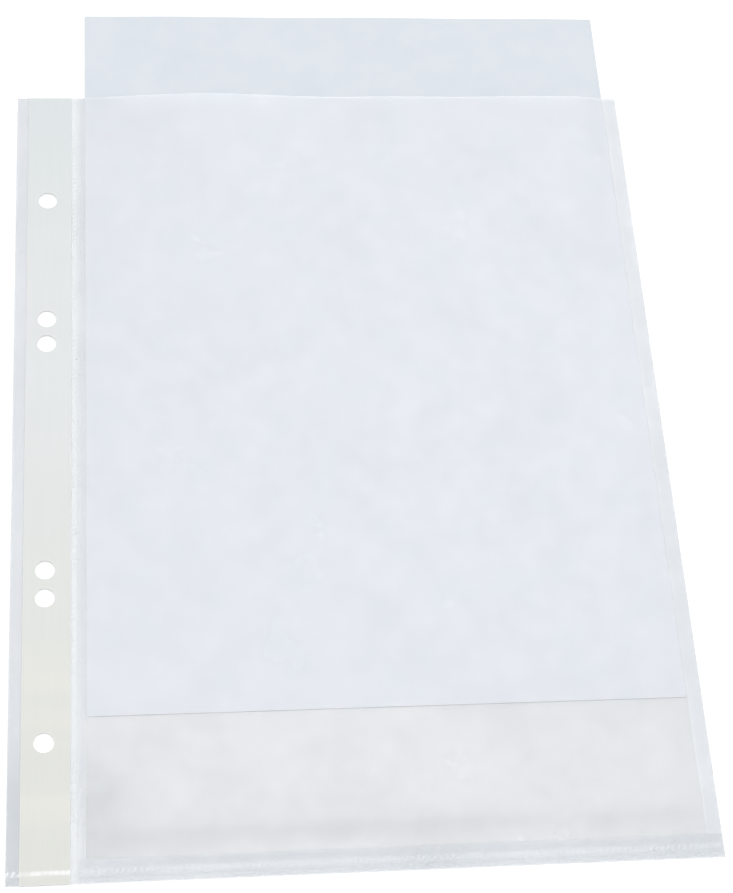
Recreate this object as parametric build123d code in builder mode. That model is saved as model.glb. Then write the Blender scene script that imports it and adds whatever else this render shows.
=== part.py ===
from build123d import *
import os

# A punched sheet protector lying face up, with a sheet of paper pushed part of the way in.
# X runs from the binding edge to the fold, Y from the bottom weld to the open mouth, Z up.
# The origin is the middle of the footprint, on the underside of the film.

# Sheet of paper (A4)
paper_width = 210.0
paper_length = 297.0
paper_thickness = 0.1
paper_rise = 57.0  # from the pocket's bottom edge up to the paper's lower edge

# Folded film and the room that it leaves for the paper
film_thickness = 0.1
pocket_length = 313.5
slide_clearance = 0.1  # above and below the paper
spine_clearance = 0.3  # beside the paper, next to the hinge edge
fold_clearance = 0.4  # beside the paper, next to the fold

# Binding margin: clear border, reinforcing strip and long weld, side by side
clear_border = 4.5
strip_width = 16.7
strip_thickness = 0.15
long_weld_width = 2.2
seal_line_width = 1.2  # along both edges of the strip, where it is melted into the margin

# Punched ring holes, in mirrored pairs about the strip's middle
hole_diameter = 7.0
hole_edge_distance = 12.2
outer_hole_offset = 108.5
inner_hole_offset = 45.5
paired_hole_spacing = 10.5

# Edges where the front film comes down onto the back film
bend_clearance = 0.1
hinge_seam_width = 0.7
hinge_slope_width = 1.5
fold_slope_width = 4.3
fold_crease_width = 0.8

# Bottom weld: a loose lip of film, the serrated band, then the slope up into the pocket
lip_width = 2.8
bottom_weld_width = 2.2
bottom_slope_width = 3.0

# Serrations of both welds: slanted ridges left standing in a pressed groove
weld_depth = 0.06
ridge_pitch = 2.0
ridge_width = 0.8
ridge_lean = 0.9
ridge_end_margin = 1.0

# Heights
seam_thickness = 2 * film_thickness
pocket_gap = paper_thickness + 2 * slide_clearance
pocket_thickness = pocket_gap + 2 * film_thickness
front_film_height = film_thickness + pocket_gap
paper_height = film_thickness + slide_clearance

# The page turns about a line level with the front film, so that it can lie flat on the strip
hinge_gap = pocket_thickness + bend_clearance

# Places along X, from the binding edge to the fold
margin_width = clear_border + strip_width
binding_width = margin_width + long_weld_width
hinge_edge_width = hinge_seam_width + hinge_slope_width
panel_width = spine_clearance + paper_width + fold_clearance
fold_width = fold_slope_width + fold_crease_width
overall_width = binding_width + hinge_gap + hinge_edge_width + panel_width + fold_width
binding_edge = -overall_width / 2
strip_edge = binding_edge + clear_border
weld_edge = binding_edge + margin_width
hinge_line = binding_edge + binding_width + hinge_gap
hinge_seam_edge = hinge_line + hinge_seam_width
panel_left = hinge_line + hinge_edge_width
paper_left = panel_left + spine_clearance
panel_right = panel_left + panel_width
crease_edge = panel_right + fold_slope_width
fold_edge = panel_right + fold_width

# Places along Y, from the bottom lip to the mouth
overall_length = max(pocket_length, paper_rise + paper_length)
bottom_edge = -overall_length / 2
weld_low = bottom_edge + lip_width
weld_high = weld_low + bottom_weld_width
panel_bottom = weld_high + bottom_slope_width
mouth_edge = bottom_edge + pocket_length
strip_middle = bottom_edge + pocket_length / 2
paper_bottom = bottom_edge + paper_rise
hole_line = binding_edge + hole_edge_distance
hole_offsets = (outer_hole_offset, inner_hole_offset + paired_hole_spacing, inner_hole_offset)


def seal_lines():
    """Draw the two lines along the strip's edges where it sinks into the margin."""
    plate_outline(strip_edge, strip_edge + seal_line_width, bottom_edge, mouth_edge)
    plate_outline(weld_edge - seal_line_width, weld_edge, bottom_edge, mouth_edge)


def punched_holes():
    """Cut the six ring holes from the sketch that is being drawn."""
    for offset in hole_offsets:
        with Locations((hole_line, strip_middle + offset), (hole_line, strip_middle - offset)):
            Circle(hole_diameter / 2, mode=Mode.SUBTRACT)


def plate_outline(left, right, low, high):
    """Draw a rectangle between two places along X and two along Y."""
    with Locations(((left + right) / 2, (low + high) / 2)):
        Rectangle(right - left, high - low)


def weld_ridges(left, right, low, high, run_angle):
    """Take slanted ridges out of a weld's groove, one every pitch along its run."""
    along_x = run_angle == 0
    run = right - left if along_x else high - low
    band = high - low if along_x else right - left
    count = max(1, int((run - 2 * ridge_end_margin) // ridge_pitch))
    half_width = ridge_width / 2
    half_lean = ridge_lean / 2
    half_band = band / 2
    ridge = [
        (-half_width - half_lean, -half_band),
        (half_width - half_lean, -half_band),
        (half_width + half_lean, half_band),
        (-half_width + half_lean, half_band),
    ]
    with Locations(Location(((left + right) / 2, (low + high) / 2, 0), (0, 0, run_angle))):
        with GridLocations(ridge_pitch, 0, count, 1):
            Polygon(*ridge, align=None, mode=Mode.SUBTRACT)


# Binding margin: both films pressed together beside the pocket, clear outside the strip
with BuildPart() as binding_margin:
    with BuildSketch(Plane.XY):
        plate_outline(binding_edge, weld_edge, bottom_edge, mouth_edge)
        punched_holes()
    extrude(amount=seam_thickness)
    with BuildSketch(Plane.XY.offset(seam_thickness)):
        plate_outline(binding_edge, strip_edge, weld_low, weld_high)
        weld_ridges(binding_edge, strip_edge, weld_low, weld_high, 0)
        seal_lines()
    extrude(amount=-weld_depth, mode=Mode.SUBTRACT)
binding_margin.part.label = "binding_margin"

# Reinforcing strip: cream tape over the margin, sealed along its edges, punched and welded with it
with BuildPart() as reinforcing_strip:
    with BuildSketch(Plane.XY.offset(seam_thickness)):
        plate_outline(strip_edge, weld_edge, bottom_edge, mouth_edge)
        punched_holes()
    extrude(amount=strip_thickness)
    with BuildSketch(Plane.XY.offset(seam_thickness)):
        seal_lines()
    extrude(amount=-weld_depth)
    with BuildSketch(Plane.XY.offset(seam_thickness + strip_thickness)):
        plate_outline(strip_edge, weld_edge, weld_low, weld_high)
        weld_ridges(strip_edge, weld_edge, weld_low, weld_high, 0)
    extrude(amount=-weld_depth, mode=Mode.SUBTRACT)
reinforcing_strip.part.label = "reinforcing_strip"

# Long weld: the serrated seam that closes the pocket beside the strip
with BuildPart() as long_weld:
    with BuildSketch(Plane.XY):
        plate_outline(weld_edge, weld_edge + long_weld_width, bottom_edge, mouth_edge)
    extrude(amount=seam_thickness)
    with BuildSketch(Plane.XY.offset(seam_thickness)):
        plate_outline(weld_edge, weld_edge + long_weld_width, bottom_edge, mouth_edge)
        weld_ridges(weld_edge, weld_edge + long_weld_width, bottom_edge, mouth_edge, 90)
    extrude(amount=-weld_depth, mode=Mode.SUBTRACT)
long_weld.part.label = "long_weld"

# Back film: the flat rear wall of the pocket
with BuildPart() as back_film:
    with BuildSketch(Plane.XY):
        plate_outline(panel_left, panel_right, panel_bottom, mouth_edge)
    extrude(amount=film_thickness)
back_film.part.label = "back_film"

# Front film: the wall over the paper, open at the mouth
with BuildPart() as front_film:
    with BuildSketch(Plane.XY.offset(front_film_height)):
        plate_outline(panel_left, panel_right, panel_bottom, mouth_edge)
    extrude(amount=film_thickness)
front_film.part.label = "front_film"

# Hinge edge: the films close beside the long weld, and meet the bottom weld in a mitre
with BuildPart() as hinge_edge:
    with BuildSketch(Plane.XZ.offset(-mouth_edge)):
        with BuildLine():
            Polyline(
                (hinge_line, 0),
                (panel_left, 0),
                (panel_left, film_thickness),
                (hinge_seam_edge, film_thickness),
                (panel_left, front_film_height),
                (panel_left, pocket_thickness),
                (hinge_seam_edge, seam_thickness),
                (hinge_line, seam_thickness),
                close=True,
            )
        make_face()
    extrude(amount=mouth_edge - weld_high)
    with BuildSketch(Plane.XY):
        with BuildLine():
            Polyline(
                (hinge_line, weld_high),
                (hinge_seam_edge, weld_high),
                (panel_left, panel_bottom),
                (panel_left, mouth_edge),
                (hinge_line, mouth_edge),
                close=True,
            )
        make_face()
    extrude(amount=pocket_thickness, mode=Mode.INTERSECT)
hinge_edge.part.label = "hinge_edge"

# Side fold: the web turns back on itself in a rounded crease
with BuildPart() as side_fold:
    with BuildSketch(Plane.XZ.offset(-mouth_edge)):
        with BuildLine():
            crease_nose = fold_edge - film_thickness
            Line((panel_right, 0), (crease_nose, 0))
            ThreePointArc((crease_nose, 0), (fold_edge, film_thickness), (crease_nose, seam_thickness))
            Polyline(
                (crease_nose, seam_thickness),
                (crease_edge, seam_thickness),
                (panel_right, pocket_thickness),
                (panel_right, front_film_height),
                (crease_edge, film_thickness),
                (panel_right, film_thickness),
                (panel_right, 0),
            )
        make_face()
    extrude(amount=mouth_edge - weld_high)
    with BuildSketch(Plane.XY):
        with BuildLine():
            Polyline(
                (fold_edge, weld_high),
                (crease_edge, weld_high),
                (panel_right, panel_bottom),
                (panel_right, mouth_edge),
                (fold_edge, mouth_edge),
                close=True,
            )
        make_face()
    extrude(amount=pocket_thickness, mode=Mode.INTERSECT)
side_fold.part.label = "side_fold"

# Bottom weld: the serrated seam under the pocket, with its loose lip and the slope above it
with BuildPart() as bottom_weld:
    with BuildSketch(Plane.YZ.offset(hinge_line)):
        with BuildLine():
            Polyline(
                (bottom_edge, 0),
                (panel_bottom, 0),
                (panel_bottom, film_thickness),
                (weld_high, film_thickness),
                (panel_bottom, front_film_height),
                (panel_bottom, pocket_thickness),
                (weld_high, seam_thickness),
                (bottom_edge, seam_thickness),
                close=True,
            )
        make_face()
    extrude(amount=fold_edge - hinge_line)
    with BuildSketch(Plane.XY):
        with BuildLine():
            Polyline(
                (hinge_line, bottom_edge),
                (fold_edge, bottom_edge),
                (fold_edge, weld_high),
                (crease_edge, weld_high),
                (panel_right, panel_bottom),
                (panel_left, panel_bottom),
                (hinge_seam_edge, weld_high),
                (hinge_line, weld_high),
                close=True,
            )
        make_face()
    extrude(amount=pocket_thickness, mode=Mode.INTERSECT)
    with BuildSketch(Plane.XY.offset(seam_thickness)):
        plate_outline(hinge_line, fold_edge, weld_low, weld_high)
        weld_ridges(hinge_line, fold_edge, weld_low, weld_high, 0)
    extrude(amount=-weld_depth, mode=Mode.SUBTRACT)
bottom_weld.part.label = "bottom_weld"

# Paper sheet: free to slide between the films
with BuildPart() as paper_sheet:
    with BuildSketch(Plane.XY.offset(paper_height)):
        plate_outline(paper_left, paper_left + paper_width, paper_bottom, paper_bottom + paper_length)
    extrude(amount=paper_thickness)
paper_sheet.part.label = "paper_sheet"

os.makedirs("parts", exist_ok=True)
export_step(binding_margin.part, "parts/binding_margin.step")
export_step(reinforcing_strip.part, "parts/reinforcing_strip.step")
export_step(long_weld.part, "parts/long_weld.step")
export_step(back_film.part, "parts/back_film.step")
export_step(front_film.part, "parts/front_film.step")
export_step(hinge_edge.part, "parts/hinge_edge.step")
export_step(side_fold.part, "parts/side_fold.step")
export_step(bottom_weld.part, "parts/bottom_weld.step")
export_step(paper_sheet.part, "parts/paper_sheet.step")
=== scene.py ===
"""Looks of a punched sheet protector: a clear film pocket with a cream strip and a sheet of paper.

X runs from the binding edge to the fold, Y from the bottom weld to the open mouth and Z up, in
metres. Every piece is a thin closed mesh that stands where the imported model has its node.
"""

import logging
import math
from dataclasses import dataclass, field
from enum import Enum
from typing import Callable

import bpy
from mathutils import Matrix, Vector, noise


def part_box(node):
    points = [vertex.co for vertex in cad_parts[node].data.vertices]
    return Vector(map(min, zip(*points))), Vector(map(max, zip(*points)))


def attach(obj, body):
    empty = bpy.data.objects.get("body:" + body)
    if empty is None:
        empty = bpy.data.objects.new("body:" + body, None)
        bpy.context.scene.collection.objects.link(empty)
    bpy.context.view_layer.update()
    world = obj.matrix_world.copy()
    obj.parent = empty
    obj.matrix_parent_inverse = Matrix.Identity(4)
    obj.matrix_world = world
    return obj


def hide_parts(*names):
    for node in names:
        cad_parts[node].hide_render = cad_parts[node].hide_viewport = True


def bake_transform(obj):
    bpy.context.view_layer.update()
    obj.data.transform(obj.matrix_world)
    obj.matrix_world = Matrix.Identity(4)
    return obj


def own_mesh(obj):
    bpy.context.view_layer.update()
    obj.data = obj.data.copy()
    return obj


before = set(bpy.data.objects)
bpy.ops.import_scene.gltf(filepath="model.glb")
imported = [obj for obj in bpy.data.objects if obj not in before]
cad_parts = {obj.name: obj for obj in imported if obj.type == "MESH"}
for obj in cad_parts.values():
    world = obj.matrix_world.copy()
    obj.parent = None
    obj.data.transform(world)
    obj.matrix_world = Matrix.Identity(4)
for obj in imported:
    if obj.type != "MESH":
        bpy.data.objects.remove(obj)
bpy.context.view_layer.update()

log = logging.getLogger("sheet_protector")

Point = tuple[float, float, float]
Colour = tuple[float, float, float]
Range = tuple[float, float]
Relief = Callable[[float, float], float]
PlaceTest = Callable[[float, float], bool]

MM = 0.001
LIP = 2.8 * MM
WELD_WIDTH = 2.2 * MM
WELD_STEP = 0.275 * MM
WELD_RUN_STEP = 0.4 * MM
CUT_BORDER = 0.35 * MM
SAME_LINE = 1e-7
STEP_SLACK = 1e-6
SHARP_ANGLE = math.radians(35.0)
FIBRE_SCALE = 1400.0
RISING: Range = (0.0, 1.0)
FALLING: Range = (1.0, 0.0)
# Dark haze of melted welds, and of painted crease shade where the films fold and close.
MELT_AND_CREASE_SHADE_HAZE: Colour = (0.30, 0.36, 0.42)


class Slot(Enum):
    """Names of the material slots."""

    FILM = "clear_film"
    STRIP = "cream_strip"
    PAPER = "paper"


class Hold(Enum):
    """How a sheet lies."""

    LAID = "laid"
    STRETCHED = "stretched"


class Run(Enum):
    """Direction that a serrated seam runs in."""

    ALONG_X = "along_x"
    ALONG_Y = "along_y"


def ease(share: float) -> float:
    """Turn a share from 0 to 1 into a smooth step."""
    held = min(1.0, max(0.0, share))
    return held * held * (3 - 2 * held)


def hill(place: float, centre: float, reach: float) -> float:
    """Give a smooth hump that is 1 at its centre and 0 past its reach."""
    return ease(1 - abs(place - centre) / reach)


def lines_between(start: float, end: float, step: float, border: float = 0.0) -> list[float]:
    """Space grid lines evenly between two places.

    Args:
        start: First line.
        end: Last line.
        step: Largest space between two lines.
        border: Distance of one extra line from each end, where it is over 0.

    Returns:
        The lines' places, in order.
    """
    first, last = start + border, end - border
    count = max(1, math.ceil((last - first) / step - STEP_SLACK))
    inner = [first + (last - first) * i / count for i in range(count + 1)]
    return [start, *inner, end] if border > 0 else inner


def join_lines(*runs: list[float]) -> list[float]:
    """Put runs of grid lines together and drop the places that repeat.

    Args:
        *runs: Places of grid lines, in any order.

    Returns:
        All places once, in order.
    """
    joined: list[float] = []
    for place in sorted(p for run in runs for p in run):
        if not joined or place - joined[-1] > SAME_LINE:
            joined.append(place)
    return joined


def level(height: float) -> Relief:
    """Give a level face."""
    return lambda x, y: height


@dataclass(frozen=True)
class Unevenness:
    """A smooth unevenness with features of one size, and the seed that sets it apart."""

    size: float
    seed: float

    def at(self, x: float, y: float) -> float:
        """Give a value from -1 to 1 at a place."""
        return noise.noise(Vector((x / self.size, y / self.size, self.seed)))


@dataclass
class Skin:
    """A thin closed piece that is being built from its upper and lower points."""

    is_front: bool = False
    upper: list[Point] = field(default_factory=list)
    lower: list[Point] = field(default_factory=list)
    quads: list[tuple[int, ...]] = field(default_factory=list)
    welds: list[float] = field(default_factory=list)

    def point(self, upper: Point, lower: Point, weld: float = 0.0) -> int:
        """Add a pair of points.

        Args:
            upper: Point on the upper face.
            lower: Point under it on the lower face.
            weld: Share of weld there.

        Returns:
            The number of the pair.
        """
        self.upper.append(upper)
        self.lower.append(lower)
        self.welds.append(weld)
        return len(self.upper) - 1

    def grid(self, rows: list[list[int]]) -> None:
        """Join rows of points with quads that face up.

        Args:
            rows: Numbers of the points, row by row.
        """
        for near, far in zip(rows, rows[1:]):
            for i in range(len(near) - 1):
                self.quads.append((near[i], near[i + 1], far[i + 1], far[i]))

    def open_sides(self) -> list[tuple[int, int]]:
        """Find the sides that only one quad has.

        Returns:
            The two point numbers of each side, in its quad's order.
        """
        sides: dict[tuple[int, int], tuple[int, int]] = {}
        for quad in self.quads:
            for a, b in zip(quad, quad[1:] + quad[:1]):
                key = (min(a, b), max(a, b))
                if key in sides:
                    sides.pop(key)
                else:
                    sides[key] = (a, b)
        return list(sides.values())

    def build(self, name: str, is_cut: PlaceTest) -> bpy.types.Object:
        """Close the piece with walls along its open edges and make the object.

        Args:
            name: Name of the object.
            is_cut: Tells whether the open edge at a place is a cut one, not a joined one.

        Returns:
            The linked object. Its cut_edge attribute is 1 on cut edges, weld_share says how
            far the film is melted, outer_face is 1 on the face turned out of the pocket, and
            joined_wall is 1 on a wall that lies against the next piece.
        """
        count = len(self.upper)
        sides = self.open_sides()
        walls = [(b, a, a + count, b + count) for a, b in sides]
        below = [tuple(i + count for i in reversed(quad)) for quad in self.quads]
        mesh = bpy.data.meshes.new(name)
        mesh.from_pydata(self.upper + self.lower, [], self.quads + below + walls)
        rim = {i for side in sides for i in side if is_cut(*self.upper[i][:2])}
        self.mark_points(mesh, rim)
        joined = [0.0 if a in rim and b in rim else 1.0 for a, b in sides]
        faces = mesh.attributes.new("joined_wall", "FLOAT", "FACE").data
        faces.foreach_set("value", [0.0] * (len(self.quads) + len(below)) + joined)
        mesh.shade_smooth()
        mesh.set_sharp_from_angle(angle=SHARP_ANGLE)
        mesh.validate()
        piece = bpy.data.objects.new(name, mesh)
        bpy.context.scene.collection.objects.link(piece)
        return piece

    def mark_points(self, mesh: bpy.types.Mesh, rim: set[int]) -> None:
        """Write the attributes that the finishes read from the points.

        Args:
            mesh: The closed mesh.
            rim: Numbers of the pairs of points on a cut edge.
        """
        count = len(self.upper)
        cuts = [1.0 if i in rim else 0.0 for i in range(count)]
        upper_out, lower_out = (1.0, 0.0) if self.is_front else (0.0, 1.0)
        marks = {
            "cut_edge": cuts + cuts,
            "weld_share": self.welds + self.welds,
            "outer_face": [upper_out] * count + [lower_out] * count,
        }
        for label, values in marks.items():
            mesh.attributes.new(label, "FLOAT", "POINT").data.foreach_set("value", values)


def add_sheet(skin: Skin, columns: list[float], rows: list[float], low: Relief, high: Relief,
              weld: Relief = level(0.0)) -> Skin:
    """Add one loose sheet to a piece, over a grid, from the heights of its two faces.

    Args:
        skin: The piece that is being built.
        columns: Places of the grid lines along X.
        rows: Places of the grid lines along Y.
        low: Height of the lower face at a place.
        high: Height of the upper face at a place.
        weld: Share of weld at a place.

    Returns:
        The same piece.
    """
    skin.grid([
        [skin.point((x, y, high(x, y)), (x, y, low(x, y)), weld(x, y)) for x in columns]
        for y in rows
    ])
    return skin


@dataclass(frozen=True)
class SerratedSeam:
    """Slanted ridges left standing in a pressed groove."""

    run: Run
    run_start: float
    band_low: float
    band_high: float
    pitch: float = 2.0 * MM
    ridge_width: float = 0.8 * MM
    lean: float = 0.9 * MM
    depth: float = 0.06 * MM
    shoulder: float = 0.25 * MM
    hollow_cloud: float = 0.25

    def ridge(self, x: float, y: float) -> float:
        """Find how much of a ridge stands at a place.

        Args:
            x: Place along X.
            y: Place along Y.

        Returns:
            1 on a ridge, 0 in a hollow, and between them on a flank.
        """
        along, across = (x, y) if self.run is Run.ALONG_X else (y, x)
        band_share = (across - self.band_low) / (self.band_high - self.band_low)
        turns = (along - self.run_start - self.lean * band_share) / self.pitch
        distance = abs(turns - round(turns)) * self.pitch
        return 1 - ease((distance - self.ridge_width / 2 + self.shoulder / 2) / self.shoulder)

    def band(self, x: float, y: float) -> float:
        """Find whether a place lies in the pressed band.

        Args:
            x: Place along X.
            y: Place along Y.

        Returns:
            1 inside the band and 0 outside it, with soft borders.
        """
        across = y if self.run is Run.ALONG_X else x
        inside = min(across - self.band_low, self.band_high - across)
        return ease(inside / self.shoulder)

    def dip(self, x: float, y: float) -> float:
        """Give how far the seam lies under the film's own face at a place."""
        band = self.band(x, y)
        return self.depth * band * (1 - self.ridge(x, y)) if band > 0 else 0.0

    def whiteness(self, x: float, y: float) -> float:
        """Find how far melting has clouded the film: ridges most, their hollows less.

        Args:
            x: Place along X.
            y: Place along Y.

        Returns:
            The share, from 0 to 1.
        """
        band = self.band(x, y)
        if band <= 0:
            return 0.0
        return band * (self.hollow_cloud + (1 - self.hollow_cloud) * self.ridge(x, y))


@dataclass(frozen=True)
class RingHole:
    """A punched hole with its square cell of the grid round it."""

    x: float
    y: float
    radius: float
    cell: float
    burr: float
    burr_width: float

    def rim_height(self, x: float, y: float) -> float:
        """Give the raised edge that the punch leaves round the hole."""
        distance = math.hypot(x - self.x, y - self.y) - self.radius
        return self.burr * math.exp(-((distance / self.burr_width) ** 2))


@dataclass
class PunchedPlate:
    """A plate with round holes, as a grid with rings of quads round each hole."""

    left: float
    right: float
    low: float
    high: float
    holes: list[RingHole]
    cell_steps: int = 24
    rings: int = 5
    ring_crowding: float = 1.6
    row_step: float = 3.0 * MM
    border: float = CUT_BORDER

    def __post_init__(self) -> None:
        """Work out the size of the cells round the holes."""
        self.half = self.holes[0].cell / 2
        self.step = 2 * self.half / self.cell_steps

    def columns(self) -> list[float]:
        """Lay out the grid along X.

        Returns:
            Places of the grid lines.
        """
        start, end = self.holes[0].x - self.half, self.holes[0].x + self.half
        return join_lines(
            [self.left, self.left + self.border],
            lines_between(self.left + self.border, start, self.step),
            lines_between(start, end, self.step),
            lines_between(end, self.right - self.border, self.step),
            [self.right],
        )

    def rows(self, extra_rows: list[float]) -> list[float]:
        """Lay out the grid along Y, finer beside each hole.

        Args:
            extra_rows: Further grid lines, such as those of a weld.

        Returns:
            Places of the grid lines.
        """
        half = self.half
        runs = [[self.low, self.low + self.border], [self.high - self.border, self.high], extra_rows]
        last = max([self.low + self.border, *extra_rows])
        for hole in sorted(self.holes, key=lambda h: h.y):
            if hole.y - half > last + SAME_LINE:
                runs.append(lines_between(last, hole.y - half, self.row_step))
            runs.append(lines_between(hole.y - half, hole.y + half, self.step))
            last = hole.y + half
        runs.append(lines_between(last, self.high - self.border, self.row_step))
        return join_lines(*runs)

    def skin(self, base: Relief, top: Relief, extra_rows: list[float]) -> Skin:
        """Build the plate from the heights of its two faces.

        Args:
            base: Height of the lower face at a place.
            top: Height of the upper face at a place.
            extra_rows: Further grid lines along Y, such as those of a weld.

        Returns:
            The plate, not yet made into an object.
        """
        columns, rows = self.columns(), self.rows(extra_rows)
        skin = Skin()
        numbers = [
            [skin.point((x, y, top(x, y)), (x, y, base(x, y))) for x in columns] for y in rows
        ]
        first_column = self.nearest(columns, self.holes[0].x - self.half)
        cells = []
        for hole in self.holes:
            first_row = self.nearest(rows, hole.y - self.half)
            cells.append((first_row, first_row + self.cell_steps))
            outline = self.cell_outline(numbers, first_row, first_column)
            self.ring_round(skin, hole, outline, base, top)
        for j in range(len(rows) - 1):
            beside_hole = any(start <= j < end for start, end in cells)
            for i in range(len(columns) - 1):
                if beside_hole and first_column <= i < first_column + self.cell_steps:
                    continue
                near, far = numbers[j], numbers[j + 1]
                skin.quads.append((near[i], near[i + 1], far[i + 1], far[i]))
        return skin

    @staticmethod
    def nearest(places: list[float], wanted: float) -> int:
        """Give the number of the grid line nearest to a place."""
        return min(range(len(places)), key=lambda i: abs(places[i] - wanted))

    def cell_outline(self, numbers: list[list[int]], first_row: int, first_column: int) -> list[int]:
        """Go round the square cell of a hole.

        Args:
            numbers: Point numbers of the plate's grid.
            first_row: Row where the cell starts.
            first_column: Column where the cell starts.

        Returns:
            The numbers of the points on the cell's border.
        """
        n = self.cell_steps
        outline = [numbers[first_row][first_column + i] for i in range(n)]
        outline += [numbers[first_row + i][first_column + n] for i in range(n)]
        outline += [numbers[first_row + n][first_column + n - i] for i in range(n)]
        outline += [numbers[first_row + n - i][first_column] for i in range(n)]
        return outline

    def ring_round(self, skin: Skin, hole: RingHole, outline: list[int], base: Relief,
                   top: Relief) -> None:
        """Fill a hole's cell with rings from its square border to its round edge.

        Args:
            skin: The plate that is being built.
            hole: The hole to leave open.
            outline: Point numbers on the border of the hole's cell.
            base: Height of the lower face at a place.
            top: Height of the upper face at a place.
        """
        outer = outline
        for ring in range(1, self.rings + 1):
            share = 1 - (1 - ring / self.rings) ** self.ring_crowding
            inner = []
            for number in outline:
                from_x, from_y, _ = skin.upper[number]
                angle = math.atan2(from_y - hole.y, from_x - hole.x)
                edge_x = hole.x + hole.radius * math.cos(angle)
                edge_y = hole.y + hole.radius * math.sin(angle)
                x = from_x + (edge_x - from_x) * share
                y = from_y + (edge_y - from_y) * share
                inner.append(skin.point((x, y, top(x, y)), (x, y, base(x, y))))
            for i in range(len(outline)):
                j = (i + 1) % len(outline)
                skin.quads.append((outer[i], outer[j], inner[j], inner[i]))
            outer = inner


@dataclass(frozen=True)
class Cloud:
    """Scale, detail and roughness of a noise texture."""

    scale: float
    detail: float = 2.0
    roughness: float = 0.5


class Wiring:
    """A node tree that is being wired, with short calls for its usual nodes."""

    def __init__(self, tree: bpy.types.NodeTree) -> None:
        """Keep the tree."""
        self.tree = tree

    def add(self, kind: str, **settings: object) -> bpy.types.Node:
        """Add a node.

        Args:
            kind: Blender's name for the node.
            **settings: Its properties.

        Returns:
            The node.
        """
        node = self.tree.nodes.new(kind)
        for name, value in settings.items():
            setattr(node, name, value)
        return node

    def feed(self, socket: bpy.types.NodeSocket, source: object) -> None:
        """Link a socket to an output, or set its value.

        Args:
            socket: The input.
            source: The output or the value.
        """
        if isinstance(source, bpy.types.NodeSocket):
            self.tree.links.new(source, socket)
        else:
            socket.default_value = source

    def sum(self, operation: str, a: object, b: object = 0.0, clamp: bool = False) -> bpy.types.NodeSocket:
        """Work one Math node out.

        Args:
            operation: Blender's name for the operation.
            a: First value or output.
            b: Second value or output.
            clamp: Whether to hold the result between 0 and 1.

        Returns:
            The result.
        """
        node = self.add("ShaderNodeMath", operation=operation, use_clamp=clamp)
        self.feed(node.inputs[0], a)
        self.feed(node.inputs[1], b)
        return node.outputs[0]

    def blend(self, share: object, a: object, b: object) -> bpy.types.NodeSocket:
        """Mix two colours.

        Args:
            share: Share of the second colour.
            a: First colour.
            b: Second colour.

        Returns:
            The mixed colour.
        """
        node = self.add("ShaderNodeMix", data_type="RGBA")
        self.feed(node.inputs[0], share)
        self.feed(node.inputs[6], a)
        self.feed(node.inputs[7], b)
        return node.outputs[2]

    def span(self, value: object, band: Range, onto: Range = RISING) -> bpy.types.NodeSocket:
        """Map a range of values smoothly onto another.

        Args:
            value: The value.
            band: Range of the value.
            onto: Range that it is mapped onto.

        Returns:
            The mapped value.
        """
        node = self.add("ShaderNodeMapRange", interpolation_type="SMOOTHSTEP")
        for socket, source in zip(node.inputs, (value, *band, *onto)):
            self.feed(socket, source)
        return node.outputs[0]

    def cloud(self, vector: object, kind: Cloud, scale: object = None) -> bpy.types.NodeSocket:
        """Lay a noise texture.

        Args:
            vector: Where on the surface.
            kind: Scale, detail and roughness.
            scale: Output to take the scale from, in place of the kind's own.

        Returns:
            Its value.
        """
        node = self.add("ShaderNodeTexNoise")
        self.feed(node.inputs["Vector"], vector)
        self.feed(node.inputs["Scale"], kind.scale if scale is None else scale)
        node.inputs["Detail"].default_value = kind.detail
        node.inputs["Roughness"].default_value = kind.roughness
        return node.outputs["Fac"]

    def stretched(self, vector: object, scale: Point) -> bpy.types.NodeSocket:
        """Scale a vector along its axes.

        Args:
            vector: The vector.
            scale: Factor for each axis.

        Returns:
            The scaled vector.
        """
        node = self.add("ShaderNodeMapping")
        self.feed(node.inputs["Vector"], vector)
        node.inputs["Scale"].default_value = scale
        return node.outputs[0]

    def place(self) -> bpy.types.NodeSocket:
        """Give the place on the piece in its own coordinates."""
        return self.add("ShaderNodeTexCoord").outputs["Object"]

    def mark(self, name: str) -> bpy.types.NodeSocket:
        """Give a mesh attribute as a value."""
        return self.add("ShaderNodeAttribute", attribute_name=name).outputs["Fac"]

    def bump(self, height: object, strength: float, distance: float) -> bpy.types.NodeSocket:
        """Turn a height into a normal.

        Args:
            height: Height from 0 to 1.
            strength: Share of the bump that shows.
            distance: Real height that 1 stands for.

        Returns:
            The normal.
        """
        node = self.add("ShaderNodeBump")
        node.inputs["Strength"].default_value = strength
        node.inputs["Distance"].default_value = distance
        self.feed(node.inputs["Height"], height)
        return node.outputs["Normal"]


class Effect:
    """A node group that several finishes share."""

    def __init__(self, name: str, inputs: dict[str, float], outputs: list[str]) -> None:
        """Make the group with its sockets.

        Args:
            name: Name of the group.
            inputs: Default of each number input; Vector is always there.
            outputs: Names of the value outputs.
        """
        self.tree = bpy.data.node_groups.new(name, "ShaderNodeTree")
        self.tree.interface.new_socket(name="Vector", in_out="INPUT", socket_type="NodeSocketVector")
        for label, default in inputs.items():
            socket = self.tree.interface.new_socket(
                name=label, in_out="INPUT", socket_type="NodeSocketFloat")
            socket.default_value = default
        for label in outputs:
            self.tree.interface.new_socket(
                name=label, in_out="OUTPUT", socket_type="NodeSocketFloat")
        self.wiring = Wiring(self.tree)
        self.source = self.wiring.add("NodeGroupInput").outputs
        self.result = self.wiring.add("NodeGroupOutput").inputs

    def use(self, wiring: Wiring, vector: object, **values: float) -> bpy.types.NodeOutputs:
        """Place the group in a material.

        Args:
            wiring: The material's wiring.
            vector: Where on the surface.
            **values: The material's own values for the number inputs.

        Returns:
            The group's outputs.
        """
        node = wiring.add("ShaderNodeGroup", node_tree=self.tree)
        wiring.feed(node.inputs["Vector"], vector)
        for label, value in values.items():
            node.inputs[label].default_value = value
        return node.outputs


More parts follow.
